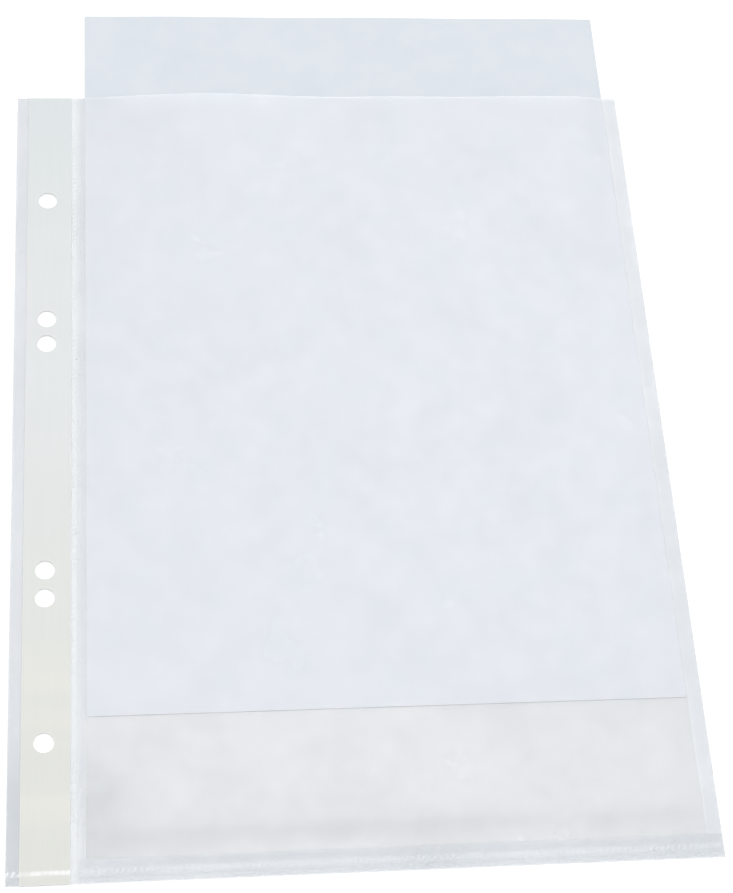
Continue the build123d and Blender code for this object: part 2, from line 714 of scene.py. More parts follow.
@dataclass(frozen=True)
class FilmGrain:
    """Unevenness of blown film: ripples, draw lines, haze, dust and patchy welds, with spots of white fuzz
    and painted glints on the welds.
    """

    ripples: Cloud = Cloud(70.0, 2.0, 0.45)
    lines: Cloud = Cloud(260.0)
    line_stretch: Point = (1.0, 0.05, 1.0)
    line_height: float = 0.12
    mottle: Cloud = Cloud(22.0, 3.0, 0.6)
    dust: float = 160.0
    speck_edge: Range = (0.03, 0.07)
    dusty_parts: Cloud = Cloud(35.0, 1.0)
    dusty_band: Range = (0.55, 0.7)
    patches: Cloud = Cloud(45.0)
    patch_band: Range = (0.36, 0.64)
    patch_share: Range = (0.3, 1.0)
    # Spots of white fuzz and painted glints on the welds.
    fuzz_and_glints: Cloud = Cloud(170.0, 1.0)
    fuzz_and_glint_band: Range = (0.68, 0.76)

    def make(self) -> Effect:
        """Build the group.

        Returns:
            The effect.
        """
        inputs = {"Ripple": self.ripples.scale, "Lines": self.lines.scale,
                  "Mottle": self.mottle.scale, "Dust": self.dust}
        effect = Effect("film_grain", inputs, ["Height", "Haze", "Specks", "Patches", "FuzzAndGlints"])
        w, source, result = effect.wiring, effect.source, effect.result
        vector = source["Vector"]
        ripples = w.cloud(vector, self.ripples, source["Ripple"])
        drawn = w.cloud(w.stretched(vector, self.line_stretch), self.lines, source["Lines"])
        w.feed(result["Height"], w.sum("ADD", ripples, w.sum("MULTIPLY", drawn, self.line_height)))
        w.feed(result["Haze"], w.cloud(vector, self.mottle, source["Mottle"]))
        dots = w.add("ShaderNodeTexVoronoi")
        w.feed(dots.inputs["Vector"], vector)
        w.feed(dots.inputs["Scale"], source["Dust"])
        near = w.span(dots.outputs["Distance"], self.speck_edge, FALLING)
        few = w.span(w.cloud(vector, self.dusty_parts), self.dusty_band)
        w.feed(result["Specks"], w.sum("MULTIPLY", near, few))
        patches = w.cloud(vector, self.patches)
        w.feed(result["Patches"], w.span(patches, self.patch_band, self.patch_share))
        w.feed(result["FuzzAndGlints"], w.span(w.cloud(vector, self.fuzz_and_glints), self.fuzz_and_glint_band))
        return effect


@dataclass(frozen=True)
class PaperFibre:
    """Look-through of paper: fine fibres, soft clouds and a few pale flecks."""

    fibre: Cloud = Cloud(FIBRE_SCALE, 4.0, 0.7)
    lying: Cloud = Cloud(FIBRE_SCALE)
    lying_stretch: Point = (1.0, 0.25, 1.0)
    lying_height: float = 0.6
    cloud: Cloud = Cloud(60.0, 5.0, 0.62)
    flecks: Cloud = Cloud(700.0)
    fleck_band: Range = (0.68, 0.78)

    def make(self) -> Effect:
        """Build the group.

        Returns:
            The effect.
        """
        inputs = {"Fibre": self.fibre.scale, "Cloud": self.cloud.scale}
        effect = Effect("paper_fibre", inputs, ["Height", "Cloud", "Fleck"])
        w, source, result = effect.wiring, effect.source, effect.result
        vector = source["Vector"]
        fine = w.cloud(vector, self.fibre, source["Fibre"])
        lying = w.cloud(w.stretched(vector, self.lying_stretch), self.lying, source["Fibre"])
        w.feed(result["Height"], w.sum("ADD", fine, w.sum("MULTIPLY", lying, self.lying_height)))
        w.feed(result["Cloud"], w.cloud(vector, self.cloud, source["Cloud"]))
        w.feed(result["Fleck"], w.span(w.cloud(vector, self.flecks), self.fleck_band))
        return effect


@dataclass(frozen=True)
class StripBands:
    """Drawn lines along the strip and soft bands across it."""

    lines: Cloud = Cloud(900.0)
    line_stretch: Point = (1.0, 0.03, 1.0)
    line_height: float = 0.3
    bands: Cloud = Cloud(55.0, 2.0, 0.55)
    band_stretch: Point = (0.12, 1.0, 1.0)
    dents: Cloud = Cloud(220.0, 3.0)
    cloud: Cloud = Cloud(240.0)

    def make(self) -> Effect:
        """Build the group.

        Returns:
            The effect.
        """
        inputs = {"Lines": self.lines.scale, "Bands": self.bands.scale}
        effect = Effect("strip_bands", inputs, ["Height", "Bands", "Lines", "Cloud"])
        w, source, result = effect.wiring, effect.source, effect.result
        vector = source["Vector"]
        lines = w.cloud(w.stretched(vector, self.line_stretch), self.lines, source["Lines"])
        bands = w.cloud(w.stretched(vector, self.band_stretch), self.bands, source["Bands"])
        dents = w.cloud(vector, self.dents)
        w.feed(result["Height"], w.sum("ADD", w.sum("MULTIPLY", lines, self.line_height), dents))
        w.feed(result["Bands"], bands)
        w.feed(result["Cloud"], w.cloud(vector, self.cloud))
        w.feed(result["Lines"], lines)
        return effect


def new_material(name: str) -> tuple[bpy.types.Material, Wiring, bpy.types.Node]:
    """Start a material.

    Args:
        name: Name of the material.

    Returns:
        The material, its wiring and its Principled shader.
    """
    material = bpy.data.materials.new(name)
    material.use_nodes = True
    return material, Wiring(material.node_tree), material.node_tree.nodes["Principled BSDF"]


@dataclass(frozen=True)
class FilmFinish:
    """Clear soft film: a faint haze, a gloss, and whiter cut edges and welds.

    With has_sides, film that is seen from inside the pocket, with no paper before it, takes the
    greyer far colour and haze: a painted shade that darkens bare film over the pale floor.
    """

    name: str
    grain: Effect
    haze_colour: Colour = (0.76, 0.63, 0.665)
    pale_colour: Colour = (0.93, 0.95, 0.96)
    haze: float = 0.022
    haze_spread: float = 0.016
    # Far colour and haze: painted shade for film seen with no paper before it.
    far_shade_colour: Colour = (0.25, 0.305, 0.335)
    far_shade_haze: float = 0.154
    far_shade_spread: float = 0.016
    is_far: bool = False
    has_sides: bool = False
    mottle_band: Range = (0.3, 0.7)
    edge_haze: float = 0.14
    weld_haze: float = 0.12
    fuzz_and_glint_haze: float = 0.45
    dust_haze: float = 0.12
    pale_share: float = 0.8
    # Painted shade: extra haze that darkens the film towards the corner at the foot of the binding.
    painted_corner_shade: float = 0.0
    corner: Point = (-0.112, -0.168, 0.0)
    corner_reach: Range = (0.004, 0.055)
    gloss: float = 0.04
    slant_blend: float = 0.5
    slant_power: float = 5.0
    roughness: float = 0.32
    roughness_band: Range = (0.25, 0.75)
    roughness_share: Range = (0.8, 1.3)
    ripple: float = 70.0
    ripple_height: float = 0.12 * MM

    def shine_index(self) -> float:
        """Work out how strongly the faint surface has to mirror to shine as clear film does.

        Returns:
            The refractive index.
        """
        haze = self.far_shade_haze if self.is_far else self.haze
        reflected = math.sqrt(self.gloss / (self.gloss + haze) / 2)
        return (1 + reflected) / (1 - reflected)

    def far_share(self, w: Wiring) -> bpy.types.NodeSocket:
        """Find where the film is seen through the pocket, with no paper before it, and takes the painted
        shade.

        Args:
            w: The material's wiring.

        Returns:
            1 on a face seen from the inside, and for light that comes back from the table
            through the outside, else 0.
        """
        turned = w.add("ShaderNodeNewGeometry").outputs["Backfacing"]
        outside = w.sum("ABSOLUTE", w.sum("SUBTRACT", w.mark("outer_face"), turned))
        seen = w.add("ShaderNodeLightPath").outputs["Is Camera Ray"]
        return w.sum("ABSOLUTE", w.sum("SUBTRACT", outside, seen))

    def mottle(self, w: Wiring, cloud: bpy.types.NodeSocket, haze: float,
               spread: float) -> bpy.types.NodeSocket:
        """Spread a haze evenly about its mean.

        Args:
            w: The material's wiring.
            cloud: The clouds that the haze follows.
            haze: Mean haze.
            spread: How far the haze ranges.

        Returns:
            The haze.
        """
        return w.span(cloud, self.mottle_band, (haze - spread / 2, haze + spread / 2))

    def body(self, w: Wiring, cloud: bpy.types.NodeSocket) -> tuple[bpy.types.NodeSocket, object]:
        """Lay the haze inside the film.

        Args:
            w: The material's wiring.
            cloud: The clouds that the haze follows.

        Returns:
            The haze and its colour.
        """
        near = self.mottle(w, cloud, self.haze, self.haze_spread)
        colour = (*self.haze_colour, 1)
        if not self.has_sides:
            return near, colour
        # Painted shade: the greyer far colour and haze where no paper lies before the film.
        far = self.far_share(w)
        painted_far_shade = self.mottle(w, cloud, self.far_shade_haze, self.far_shade_spread)
        haze = w.sum("ADD", near, w.sum("MULTIPLY", far, w.sum("SUBTRACT", painted_far_shade, near)))
        return haze, w.blend(far, colour, (*self.far_shade_colour, 1))

    def slant_gloss(self, w: Wiring, normal: bpy.types.NodeSocket) -> bpy.types.NodeSocket:
        """Raise the gloss where the film is seen at a slant.

        Args:
            w: The material's wiring.
            normal: The rippled normal.

        Returns:
            The share of light that the film mirrors.
        """
        slant = w.add("ShaderNodeLayerWeight")
        slant.inputs["Blend"].default_value = self.slant_blend
        w.feed(slant.inputs["Normal"], normal)
        steep = w.sum("POWER", slant.outputs["Facing"], self.slant_power)
        return w.sum("ADD", w.sum("MULTIPLY", steep, 1 - self.gloss), self.gloss)

    def line_haze(self, w: Wiring, grain: bpy.types.NodeOutputs, edge: bpy.types.NodeSocket,
                  welded: bpy.types.NodeSocket) -> bpy.types.NodeSocket:
        """Cloud the cut edges and the patchy welds, and lay spots of white fuzz and painted glints on the
        welds.

        Args:
            w: The material's wiring.
            grain: Outputs of the film's grain.
            edge: 1 on a cut edge.
            welded: Share of weld.

        Returns:
            The haze to add.
        """
        clouded = w.sum("ADD", w.sum("MULTIPLY", grain["Patches"], self.weld_haze),
                        w.sum("MULTIPLY", grain["FuzzAndGlints"], self.fuzz_and_glint_haze))
        return w.sum("ADD", w.sum("MULTIPLY", edge, self.edge_haze),
                     w.sum("MULTIPLY", welded, clouded))

    def dust(self, w: Wiring, specks: bpy.types.NodeSocket,
             place: bpy.types.NodeSocket) -> bpy.types.NodeSocket:
        """Strew dust, and lay a painted shade on the corner at the foot of the binding.

        Args:
            w: The material's wiring.
            specks: The grains of dust.
            place: Where on the surface.

        Returns:
            The haze to add.
        """
        dusty = w.sum("MULTIPLY", specks, self.dust_haze)
        if self.painted_corner_shade <= 0:
            return dusty
        # Painted shade on the corner at the foot of the binding, fading with distance from it.
        away = w.add("ShaderNodeVectorMath", operation="DISTANCE")
        w.feed(away.inputs[0], place)
        away.inputs[1].default_value = self.corner
        corner_shade_haze = w.span(away.outputs["Value"], self.corner_reach, (self.painted_corner_shade, 0.0))
        return w.sum("ADD", dusty, corner_shade_haze)

    def make(self) -> bpy.types.Material:
        """Build the material.

        Returns:
            The material.
        """
        material, w, shader = new_material(self.name)
        place = w.place()
        grain = self.grain.use(w, place, Ripple=self.ripple)
        edge, welded = w.mark("cut_edge"), w.mark("weld_share")
        normal = w.bump(grain["Height"], 1.0, self.ripple_height)
        body, body_colour = self.body(w, grain["Haze"])
        lines = self.line_haze(w, grain, edge, welded)
        dust = self.dust(w, grain["Specks"], place)
        haze = w.sum("ADD", w.sum("ADD", body, lines),
                     w.sum("ADD", dust, self.slant_gloss(w, normal)), True)
        shown = w.sum("SUBTRACT", 1.0, w.mark("joined_wall"))
        w.feed(shader.inputs["Alpha"], w.sum("MULTIPLY", haze, shown))
        whitened = w.sum("MULTIPLY", w.sum("MAXIMUM", edge, welded), self.pale_share)
        pale = w.sum("ADD", whitened, grain["Specks"], True)
        w.feed(shader.inputs["Base Color"], w.blend(pale, body_colour, (*self.pale_colour, 1)))
        smooth, rough = (self.roughness * share for share in self.roughness_share)
        w.feed(shader.inputs["Roughness"], w.span(grain["Haze"], self.roughness_band, (smooth, rough)))
        w.feed(shader.inputs["Normal"], normal)
        shader.inputs["IOR"].default_value = self.shine_index()
        shader.inputs["Specular IOR Level"].default_value = 1.0
        return material


@dataclass(frozen=True)
class StripFinish:
    """Opaque tape: greenish white at the mouth, creamier towards the bottom weld, with painted light in
    soft bands low down and a melted weld that carries a painted highlight.
    """

    name: str
    bands: Effect
    top_colour: Colour = (0.704, 0.738, 0.735)
    middle_colour: Colour = (0.75, 0.765, 0.757)
    bottom_colour: Colour = (0.738, 0.738, 0.685)
    # Lighter cream of the painted light in soft bands across the lower tape.
    painted_light_band_colour: Colour = (0.79, 0.775, 0.715)
    line_colour: Colour = (0.5, 0.53, 0.5)
    pressed_colour: Colour = (0.83, 0.835, 0.80)
    # Whiter weld band: melted tape and a painted highlight along the pressed weld.
    melted_and_highlight_colour: Colour = (0.95, 0.95, 0.93)
    top_reach: Range = (0.05, 0.136)
    cream_reach: Range = (-0.15, 0.02)
    # patch_band and patch_share set the painted light in soft bands across the lower tape.
    patch_band: Range = (0.48, 0.66)
    patch_share: float = 0.6
    line_band: Range = (0.35, 0.65)
    line_share: float = 0.035
    pressed_share: float = 0.85
    melted_and_highlight_band: Range = (0.35, 0.6)
    melted_and_highlight_share: Range = (0.45, 1.0)
    roughness: float = 0.38
    roughness_band: Range = (0.3, 0.7)
    roughness_share: Range = (1.15, 0.8)
    bump_strength: float = 0.5
    bump_height: float = 0.03 * MM

    def base_colour(self, w: Wiring, place: bpy.types.NodeSocket,
                    bands: bpy.types.NodeOutputs) -> bpy.types.NodeSocket:
        """Shade the tape from the mouth to the bottom weld.

        Args:
            w: The material's wiring.
            place: Where on the surface.
            bands: Outputs of the strip's bands.

        Returns:
            The colour, without edges and weld.
        """
        parts = w.add("ShaderNodeSeparateXYZ")
        w.feed(parts.inputs[0], place)
        down = parts.outputs["Y"]
        upper = w.span(down, self.top_reach)
        cream = w.span(down, self.cream_reach, FALLING)
        colour = w.blend(upper, (*self.middle_colour, 1), (*self.top_colour, 1))
        colour = w.blend(cream, colour, (*self.bottom_colour, 1))
        # Painted light: lighter cream bands across the lower tape, standing in for light on its waves.
        painted_light_patch = w.sum("MULTIPLY", w.span(bands["Bands"], self.patch_band), cream)
        colour = w.blend(w.sum("MULTIPLY", painted_light_patch, self.patch_share), colour, (*self.painted_light_band_colour, 1))
        shade = w.span(bands["Lines"], self.line_band, (0.0, self.line_share))
        return w.blend(shade, colour, (*self.line_colour, 1))

    def make(self) -> bpy.types.Material:
        """Build the material.

        Returns:
            The material.
        """
        material, w, shader = new_material(self.name)
        place = w.place()
        bands = self.bands.use(w, place)
        colour = self.base_colour(w, place, bands)
        pressed = w.sum("MULTIPLY", w.mark("cut_edge"), self.pressed_share)
        colour = w.blend(pressed, colour, (*self.pressed_colour, 1))
        # The weld across the foot whitens the tape: melted tape and a painted highlight.
        clouded = w.span(bands["Cloud"], self.melted_and_highlight_band, self.melted_and_highlight_share)
        melted = w.sum("MULTIPLY", w.mark("weld_share"), clouded)
        colour = w.blend(melted, colour, (*self.melted_and_highlight_colour, 1))
        w.feed(shader.inputs["Base Color"], colour)
        rough, smooth = (self.roughness * share for share in self.roughness_share)
        w.feed(shader.inputs["Roughness"], w.span(bands["Bands"], self.roughness_band, (rough, smooth)))
        w.feed(shader.inputs["Normal"], w.bump(bands["Height"], self.bump_strength, self.bump_height))
        return material


@dataclass(frozen=True)
class PaperFinish:
    """Smooth office paper: bluish white with soft clouds and fine fibres."""

    name: str
    fibre: Effect
    colour: Colour = (0.722, 0.765, 0.806)
    cloud_colour: Colour = (0.757, 0.790, 0.825)
    cloud_band: Range = (0.3, 0.7)
    fleck_colour: Colour = (0.80, 0.83, 0.86)
    fleck_share: float = 0.5
    roughness: float = 0.72
    smoother_share: float = 0.9
    specular: float = 0.3
    bump_strength: float = 0.35
    bump_height: float = 0.02 * MM

    def make(self) -> bpy.types.Material:
        """Build the material.

        Returns:
            The material.
        """
        material, w, shader = new_material(self.name)
        fibre = self.fibre.use(w, w.place())
        cloud = w.span(fibre["Cloud"], self.cloud_band)
        colour = w.blend(cloud, (*self.colour, 1), (*self.cloud_colour, 1))
        flecks = w.sum("MULTIPLY", fibre["Fleck"], self.fleck_share)
        w.feed(shader.inputs["Base Color"], w.blend(flecks, colour, (*self.fleck_colour, 1)))
        smoother = self.roughness * self.smoother_share
        w.feed(shader.inputs["Roughness"], w.span(cloud, RISING, (self.roughness, smoother)))
        w.feed(shader.inputs["Normal"], w.bump(fibre["Height"], self.bump_strength, self.bump_height))
        shader.inputs["Specular IOR Level"].default_value = self.specular
        return material


def dress(piece: bpy.types.Object, material: bpy.types.Material, slot: Slot) -> None:
    """Give a piece its material."""
    piece.data.materials.append(material)


@dataclass
class PocketShape:
    """Heights of the two films of the pocket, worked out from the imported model."""

    film: float = 0.1 * MM
    humps: tuple[Point, ...] = (
        (3.0 * MM, -46 * MM, 56 * MM),
        (1.0 * MM, 30 * MM, 64 * MM),
        (1.6 * MM, 92 * MM, 44 * MM),
    )
    mouth_reach: float = 70.0 * MM
    mouth_bend: float = 1.3
    swell: float = 0.25 * MM
    swell_unevenness: Unevenness = Unevenness(55 * MM, 3.1)
    swell_start: float = 10.0 * MM
    side_fade: float = 12.0 * MM
    fold_fade: float = 9.6 * MM
    pillow: float = 1.1 * MM
    pillow_top: float = 14.0 * MM
    pillow_fade: float = 22.0 * MM
    pillow_mean: float = 0.75
    pillow_ripple: float = 0.5
    pillow_unevenness: Unevenness = Unevenness(40 * MM, 1.3)
    pucker: float = 0.35 * MM
    pucker_unevenness: Unevenness = Unevenness(9 * MM, 7.7)
    pucker_stretch: float = 0.25
    pucker_start: float = 6.0 * MM
    pucker_fade: float = 16.0 * MM
    weld_lift: float = 0.2 * MM
    seam_width: float = 0.7 * MM
    crease_width: float = 0.8 * MM

    def __post_init__(self) -> None:
        """Read the places of the pocket's nodes."""
        front_low, front_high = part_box("front_film")
        self.left, self.right = front_low.x, front_high.x
        self.bottom, self.mouth = front_low.y, front_high.y
        self.front_height = front_low.z
        self.hinge_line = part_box("hinge_edge")[0].x
        self.fold_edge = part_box("side_fold")[1].x
        self.lip_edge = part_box("bottom_weld")[0].y
        self.weld_low = self.lip_edge + LIP
        self.weld_high = self.weld_low + WELD_WIDTH
        self.seam_edge = self.hinge_line + self.seam_width
        self.crease_edge = self.fold_edge - self.crease_width

    def mouth_wave(self, x: float) -> float:
        """Give how far the mouth's edge stands off the paper."""
        return sum(height * hill(x, centre, reach) for height, centre, reach in self.humps)

    def bulge(self, x: float, y: float) -> float:
        """Find how far the front film stands above its flat height.

        Args:
            x: Place along X.
            y: Place along Y.

        Returns:
            The height.
        """
        inside = ease((x - self.left) / self.side_fade) * ease((self.right - x) / self.fold_fade)
        up = y - self.bottom
        mouth = self.mouth_wave(x) * ease(1 - (self.mouth - y) / self.mouth_reach) ** self.mouth_bend
        swell = self.swell * (1 + self.swell_unevenness.at(x, y))
        past_top = max(0.0, up - self.pillow_top) / self.pillow_fade
        pillow = self.pillow * ease(up / self.pillow_top) * math.exp(-past_top ** 2)
        pillow *= self.pillow_mean + self.pillow_ripple * self.pillow_unevenness.at(x, 0)
        fading = math.exp(-up / self.pucker_fade)
        puckers = self.pucker * self.pucker_unevenness.at(x, y * self.pucker_stretch)
        puckers *= ease(up / self.pucker_start) * fading
        lift = swell + pillow + puckers + self.weld_lift * fading
        return inside * (mouth + ease(up / self.swell_start) * lift)

    def front_low(self, x: float, y: float) -> float:
        """Find the height of the front film's lower face.

        Args:
            x: Place along X.
            y: Place along Y.

        Returns:
            The height above the table.
        """
        height = self.film + (self.front_height - self.film) * self.open_share(x, y)
        within = self.left < x < self.right and self.bottom < y
        return height + (max(0.0, self.bulge(x, y)) if within else 0.0)

    def front_high(self, x: float, y: float) -> float:
        """Give the height of the front film's upper face."""
        return self.front_low(x, y) + self.film

    def open_share(self, x: float, y: float) -> float:
        """Find how far apart the films are.

        Args:
            x: Place along X.
            y: Place along Y.

        Returns:
            0 where they meet, 1 where they lie a full pocket's height apart.
        """
        from_hinge = ease((x - self.seam_edge) / (self.left - self.seam_edge))
        from_fold = ease((self.crease_edge - x) / (self.crease_edge - self.right))
        from_weld = ease((y - self.weld_high) / (self.bottom - self.weld_high))
        return from_hinge * from_fold * from_weld

    def is_cut(self, x: float, y: float) -> bool:
        """Tell whether the film ends at a place: at the mouth or at the lip."""
        return min(abs(y - self.mouth), abs(y - self.lip_edge)) < self.film


@dataclass
class Pocket:
    """The clear pocket: back film, front film, hinge edge, side fold and bottom weld."""

    shape: PocketShape
    film: bpy.types.Material
    backing: bpy.types.Material
    rim: bpy.types.Material
    seam: bpy.types.Material
    back_step: float = 6.0 * MM
    front_step: float = 2.0 * MM
    row_step: float = 2.5 * MM
    low_reach: float = 24.0 * MM
    low_step: float = 1.2 * MM
    slope_step: float = 0.35 * MM
    closing_step: float = 0.25 * MM
    lip_step: float = 0.8 * MM
    fold_turns: int = 8
    border: float = CUT_BORDER
    hair: float = 0.004 * MM

    def build(self) -> list[bpy.types.Object]:
        """Build and dress the pocket's pieces."""
        return [self.back_film(), self.front_film(), self.hinge_edge(), self.side_fold(),
                self.bottom_weld()]

    def rows_from(self, start: float, step: float) -> list[float]:
        """Give the grid lines from a place up to the mouth."""
        return join_lines(lines_between(start, self.shape.mouth - self.border, step), [self.shape.mouth])

    def back_film(self) -> bpy.types.Object:
        """Build the rear wall, level on the table.

        Returns:
            The piece.
        """
        s = self.shape
        columns = lines_between(s.left, s.right, self.back_step)
        rows = self.rows_from(s.bottom, self.back_step)
        skin = add_sheet(Skin(), columns, rows, level(0.0), level(s.film))
        piece = skin.build("back_film_sheet", s.is_cut)
        dress(piece, self.backing, Slot.FILM)
        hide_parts("back_film")
        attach(piece, "pocket")
        return piece

    def front_film(self) -> bpy.types.Object:
        """Build the wall over the paper, which swells and stands open at the mouth.

        Returns:
            The piece.
        """
        s = self.shape
        columns = lines_between(s.left, s.right, self.front_step)
        low_end = s.bottom + self.low_reach
        rows = join_lines(
            lines_between(s.bottom, low_end, self.low_step),
            self.rows_from(low_end, self.row_step),
        )
        skin = add_sheet(Skin(is_front=True), columns, rows, s.front_low, s.front_high)
        piece = skin.build("front_film_sheet", s.is_cut)
        dress(piece, self.film, Slot.FILM)
        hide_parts("front_film")
        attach(piece, "pocket")
        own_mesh(piece)
        return piece

    def hinge_edge(self) -> bpy.types.Object:
        """Build the films where they close beside the long weld.

        Returns:
            The piece.
        """
        s = self.shape
        columns = join_lines(
            lines_between(s.hinge_line, s.seam_edge, self.slope_step),
            lines_between(s.seam_edge, s.left, self.closing_step),
        )
        rows = self.rows_from(s.bottom, self.row_step)
        skin = add_sheet(Skin(), columns, rows, s.front_low, s.front_high)
        add_sheet(skin, columns, rows, level(0.0), level(s.film - self.hair))
        piece = skin.build("hinge_edge_film", s.is_cut)
        dress(piece, self.rim, Slot.FILM)
        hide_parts("hinge_edge")
        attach(piece, "pocket")
        return piece

    def fold_section(self, y: float) -> list[tuple[Point, Point]]:
        """Draw the fold's section, from the front film round the crease to the back film.

        Args:
            y: Place along Y.

        Returns:
            Outer and inner point of each step round the fold.
        """
        s = self.shape
        nose = s.fold_edge - s.film
        section = [
            ((x, y, s.front_high(x, y)), (x, y, s.front_low(x, y) + self.hair))
            for x in lines_between(s.right, s.crease_edge, self.slope_step)
        ]
        section.append(((nose, y, 2 * s.film), (nose, y, s.film + self.hair)))
        for i in range(1, self.fold_turns):
            turn = math.pi * i / self.fold_turns
            outer = (nose + s.film * math.sin(turn), y, s.film + s.film * math.cos(turn))
            section.append((outer, (nose, y, s.film + self.hair * math.cos(turn))))
        for x in (nose, s.crease_edge, (s.crease_edge + s.right) / 2, s.right):
            section.append(((x, y, 0.0), (x, y, s.film - self.hair)))
        return section

    def side_fold(self) -> bpy.types.Object:
        """Build the fold, where one film comes down and turns back under itself.

        Returns:
            The piece.
        """
        s = self.shape
        skin = Skin()
        skin.grid([
            [skin.point(outer, inner) for outer, inner in self.fold_section(y)]
            for y in self.rows_from(s.bottom, self.row_step)
        ])
        piece = skin.build("side_fold_film", s.is_cut)
        dress(piece, self.rim, Slot.FILM)
        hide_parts("side_fold")
        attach(piece, "pocket")
        return piece

    def bottom_weld(self) -> bpy.types.Object:
        """Build the serrated seam with its loose lip and the slope above it.

        Returns:
            The piece.
        """
        s = self.shape
        seam = SerratedSeam(Run.ALONG_X, s.hinge_line, s.weld_low, s.weld_high)
        columns = lines_between(s.hinge_line, s.fold_edge, WELD_RUN_STEP)
        rows = join_lines(
            [s.lip_edge, s.lip_edge + self.border],
            lines_between(s.lip_edge + self.border, s.weld_low, self.lip_step),
            lines_between(s.weld_low, s.weld_high, WELD_STEP),
            lines_between(s.weld_high, s.bottom, WELD_RUN_STEP),
        )
        skin = add_sheet(Skin(), columns, rows, s.front_low,
                         lambda x, y: s.front_high(x, y) - seam.dip(x, y), seam.whiteness)
        add_sheet(skin, lines_between(s.hinge_line, s.fold_edge, self.back_step),
                  [s.lip_edge, s.weld_low, s.weld_high, s.bottom], level(0.0), level(s.film - self.hair))
        piece = skin.build("bottom_weld_band", s.is_cut)
        dress(piece, self.seam, Slot.FILM)
        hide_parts("bottom_weld")
        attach(piece, "pocket")
        return piece


@dataclass
class BindingEdge:
    """What the rings hold: the clear margin, the punched strip and the long weld."""

    film: bpy.types.Material
    weld: bpy.types.Material
    tape: bpy.types.Material
    hole_radius: float = 3.5 * MM
    hole_from_edge: float = 12.2 * MM
    hole_offsets: tuple[float, ...] = (108.5 * MM, 56.0 * MM, 45.5 * MM)
    cell: float = 10.5 * MM
    burr: float = 0.03 * MM
    burr_width: float = 0.5 * MM
    tape_gap: float = 0.005 * MM
    tape_rounding: float = 0.03 * MM
    tape_cloud: float = 0.85
    tape_shoulder: float = 0.75 * MM
    first_ridge: float = 1.0 * MM

    def __post_init__(self) -> None:
        """Read the places of the binding's nodes."""
        self.margin_low, self.margin_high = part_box("binding_margin")
        self.strip_low, self.strip_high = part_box("reinforcing_strip")
        self.long_low, self.long_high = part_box("long_weld")
        self.weld_start = self.margin_low.y + LIP
        self.weld_end = self.weld_start + WELD_WIDTH
        middle = (self.margin_low.y + self.margin_high.y) / 2
        x = self.margin_low.x + self.hole_from_edge
        self.holes = [
            RingHole(x, middle + side * offset, self.hole_radius, self.cell, self.burr, self.burr_width)
            for offset in self.hole_offsets for side in (1, -1)
        ]

    def seam(self, **settings: float) -> SerratedSeam:
        """Give the bottom weld where it crosses the binding."""
        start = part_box("hinge_edge")[0].x
        return SerratedSeam(Run.ALONG_X, start, self.weld_start, self.weld_end, **settings)

    def plate(self, low: Vector, high: Vector, base: float, top: Relief, seam: SerratedSeam) -> Skin:
        """Build a punched plate with the bottom weld across its foot.

        Args:
            low: Lowest corner.
            high: Highest corner.
            base: Height of the lower face.
            top: Height of the upper face at a place.
            seam: The weld.

        Returns:
            The plate, not yet made into an object.
        """
        plate = PunchedPlate(low.x, high.x, low.y, high.y, self.holes)
        skin = plate.skin(level(base), top, lines_between(self.weld_start, self.weld_end, WELD_STEP))
        skin.welds = [seam.whiteness(x, y) for x, y, _ in skin.upper]
        return skin

    def build(self) -> list[bpy.types.Object]:
        """Build and dress the binding's pieces."""
        return [self.margin(), self.strip(), self.long_weld()]

    def margin(self) -> bpy.types.Object:
        """Build both films under the strip and past its outer edge.

        Returns:
            The piece.
        """
        low, high = self.margin_low, self.margin_high
        seam = self.seam()

        def top(x: float, y: float) -> float:
            """Give the upper face, which is pressed only where no strip covers it."""
            return high.z - (seam.dip(x, y) if x < self.strip_low.x else 0.0)

        piece = self.plate(low, high, low.z, top, seam).build("margin_film", lambda x, y: x < high.x)
        dress(piece, self.film, Slot.FILM)
        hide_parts("binding_margin")
        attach(piece, "binding")
        return piece

    def strip(self) -> bpy.types.Object:
        """Build the cream strip with its punched holes and the weld across its foot.

        Returns:
            The piece.
        """
        low, high = self.strip_low, self.strip_high
        # The strip's weld whitening runs on through the hollows, for the painted highlight along the weld.
        seam = self.seam(hollow_cloud=self.tape_cloud, shoulder=self.tape_shoulder)

        def top(x: float, y: float) -> float:
            """Find the upper face, with rounded edges, pressed weld and punched rims.

            Args:
                x: Place along X.
                y: Place along Y.

            Returns:
                The height.
            """
            edge = min(x - low.x, high.x - x, y - low.y, high.y - y)
            rounded = self.tape_rounding * (1 - ease(edge / CUT_BORDER))
            rims = sum(hole.rim_height(x, y) for hole in self.holes)
            return high.z - rounded - seam.dip(x, y) + rims

        base = self.margin_high.z + self.tape_gap
        piece = self.plate(low, high, base, top, seam).build("cream_strip_tape", lambda x, y: True)
        dress(piece, self.tape, Slot.STRIP)
        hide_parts("reinforcing_strip")
        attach(piece, "binding")
        return piece

    def long_weld(self) -> bpy.types.Object:
        """Build the serrated seam that closes the pocket beside the strip.

        Returns:
            The piece.
        """
        low, high = self.long_low, self.long_high
        seam = SerratedSeam(Run.ALONG_Y, low.y + self.first_ridge, low.x, high.x)
        columns = lines_between(low.x, high.x, WELD_STEP)
        rows = lines_between(low.y, high.y, WELD_RUN_STEP)
        skin = add_sheet(Skin(), columns, rows, level(low.z), lambda x, y: high.z - seam.dip(x, y),
                         seam.whiteness)
        piece = skin.build("long_weld_seam", lambda x, y: False)
        dress(piece, self.weld, Slot.FILM)
        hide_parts("long_weld")
        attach(piece, "binding")
        return piece


